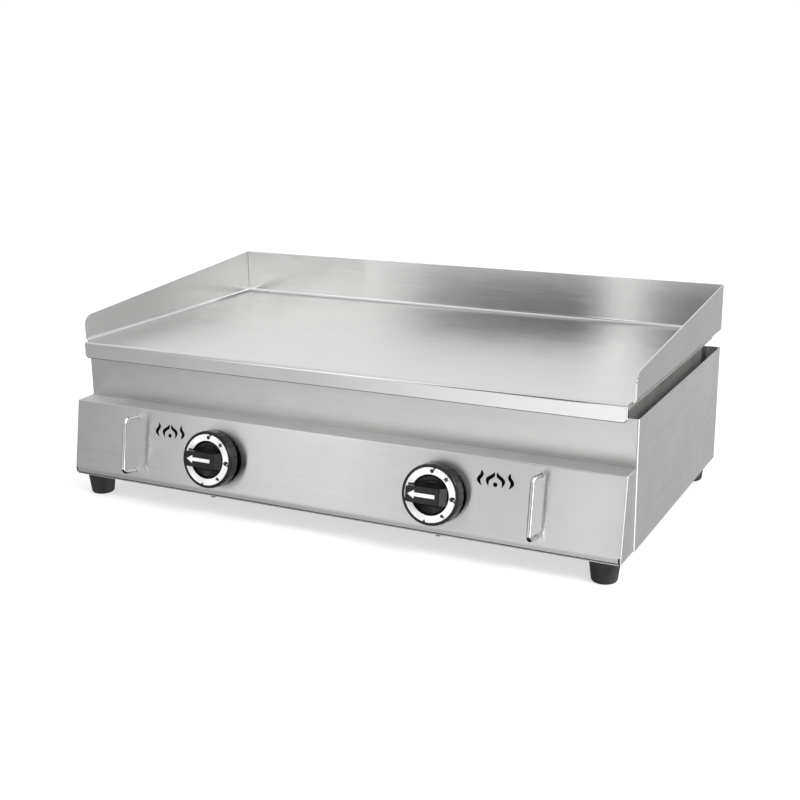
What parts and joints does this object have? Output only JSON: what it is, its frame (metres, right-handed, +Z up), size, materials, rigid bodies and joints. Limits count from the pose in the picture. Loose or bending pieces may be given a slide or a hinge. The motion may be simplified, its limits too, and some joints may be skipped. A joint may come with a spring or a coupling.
{
  "type": "flat top griddle",
  "caption": "Countertop gas griddle: a folded steel tray with splash guards over a firebox, a sloped control box with push-and-turn knobs and wire handles, on rubber feet.",
  "frame": {"origin": "on the surface it stands on, under the middle of the whole object's bounding box", "axes": "+X to the right of someone facing the knobs, +Y towards the back, +Z up"},
  "size_m": [0.73, 0.4582, 0.2575],
  "materials": {
    "tray_steel": "fine brushed stainless steel, slightly worn",
    "body_steel": "satin brushed stainless steel",
    "polished_steel": "polished stainless wire",
    "plain_steel": "plain rolled steel",
    "zinc_steel": "zinc plated",
    "brass": "machined",
    "knob_plastic": "black plastic, semi-gloss",
    "dial_white": "white ring with black marks",
    "foot_rubber": "black moulded rubber",
    "ceramic": "glazed ceramic",
    "silicone": "red silicone insulation"
  },
  "bodies": {
    "frame": {"griddle_tray": "tray_steel", "heat_plate": "plain_steel", "body_shell": "body_steel", "rear_panel": "body_steel", "base_panel": "zinc_steel", "firebox": "plain_steel", "control_panel": "body_steel", "gas_manifold": "zinc_steel", "manifold_plug": "brass", "gas_feed_pipe": "zinc_steel", "gas_inlet_nozzle": "brass", "inlet_lock_nut": "brass", "burner_left": "plain_steel", "burner_right": "plain_steel", "burner_bracket_left": "zinc_steel", "burner_bracket_right": "zinc_steel", "injector_left": "brass", "injector_right": "brass", "valve_body_left": "brass", "valve_body_right": "brass", "valve_cap_left": "zinc_steel", "valve_cap_right": "zinc_steel", "spark_electrode_left": "ceramic", "spark_electrode_right": "ceramic", "ignition_lead_left": "silicone", "ignition_lead_right": "silicone", "handle_left": "polished_steel", "handle_right": "polished_steel", "handle_nut_left_top": "zinc_steel", "handle_nut_left_bottom": "zinc_steel", "handle_nut_right_top": "zinc_steel", "handle_nut_right_bottom": "zinc_steel", "foot_front_left": "foot_rubber", "foot_front_right": "foot_rubber", "foot_rear_left": "foot_rubber", "foot_rear_right": "foot_rubber", "foot_screw_front_left": "zinc_steel", "foot_screw_front_right": "zinc_steel", "foot_screw_rear_left": "zinc_steel", "foot_screw_rear_right": "zinc_steel", "rear_screw_1": "zinc_steel", "rear_screw_2": "zinc_steel", "rear_screw_3": "zinc_steel", "rear_screw_4": "zinc_steel", "panel_screw_1": "zinc_steel", "panel_screw_2": "zinc_steel"},
    "plug_left": {"valve_plug_left": "brass", "valve_spring_left": "zinc_steel"},
    "knob_left": {"valve_spindle_left": "zinc_steel", "knob_left": "knob_plastic", "dial_ring_left": "dial_white"},
    "plug_right": {"valve_plug_right": "brass", "valve_spring_right": "zinc_steel"},
    "knob_right": {"valve_spindle_right": "zinc_steel", "knob_right": "knob_plastic", "dial_ring_right": "dial_white"}
  },
  "joints": [
    {"name": "knob_left_turn", "type": "hinge", "parent": "frame", "child": "plug_left", "pos_m": [-0.1485, -0.19898, 0.07579], "axis": [0, -0.9856, 0.169], "range_deg": [0, 142]},
    {"name": "knob_left_push", "type": "slide", "parent": "plug_left", "child": "knob_left", "axis": [0, 0.9856, -0.169], "range_m": [0, 0.004], "stiffness_N_per_m": 800, "springref_m": -0.004, "deforming": ["valve_spring_left"]},
    {"name": "knob_right_turn", "type": "hinge", "parent": "frame", "child": "plug_right", "pos_m": [0.1485, -0.19898, 0.07579], "axis": [0, -0.9856, 0.169], "range_deg": [0, 142]},
    {"name": "knob_right_push", "type": "slide", "parent": "plug_right", "child": "knob_right", "axis": [0, 0.9856, -0.169], "range_m": [0, 0.004], "stiffness_N_per_m": 800, "springref_m": -0.004, "deforming": ["valve_spring_right"]}
  ]
}
